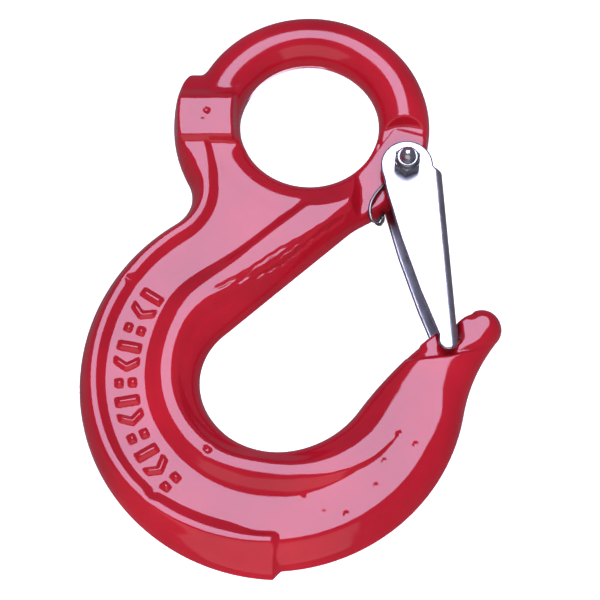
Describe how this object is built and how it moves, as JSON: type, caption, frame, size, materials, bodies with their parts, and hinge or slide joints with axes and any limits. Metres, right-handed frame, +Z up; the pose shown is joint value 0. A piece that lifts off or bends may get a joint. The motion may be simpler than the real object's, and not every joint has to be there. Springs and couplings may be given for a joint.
{
  "type": "eye sling hook with latch",
  "caption": "Forged eye sling hook for lifting chain: round eye, deep bowl, raised tip, and a sprung sheet-steel latch on a bolt.",
  "frame": {"origin": "middle of the eye, on the hook's middle plane", "axes": "+X towards the hook's tip, +Y along the eye's bore, away from the marked face, +Z up the load line"},
  "size_m": [0.1321, 0.0328, 0.1943],
  "materials": {
    "red_paint": "gloss",
    "zinc_latch": "satin",
    "zinc_bolt": "gloss",
    "zinc_nut": "satin",
    "nylon": "satin",
    "spring_wire": "satin"
  },
  "bodies": {
    "hook": {"hook_body": "red_paint", "pivot_bolt": "zinc_bolt", "lock_nut": "zinc_nut", "nut_insert": "nylon", "latch_spring": "spring_wire"},
    "latch": {"latch": "zinc_latch"}
  },
  "joints": [
    {"name": "latch_pivot", "type": "hinge", "parent": "hook", "child": "latch", "pos_m": [0.033, 0, -0.0148], "axis": [0, 1, 0], "range_deg": [0, 34], "stiffness_Nm_per_rad": 0.12, "springref_deg": -34.38, "deforming": ["latch_spring"]}
  ]
}
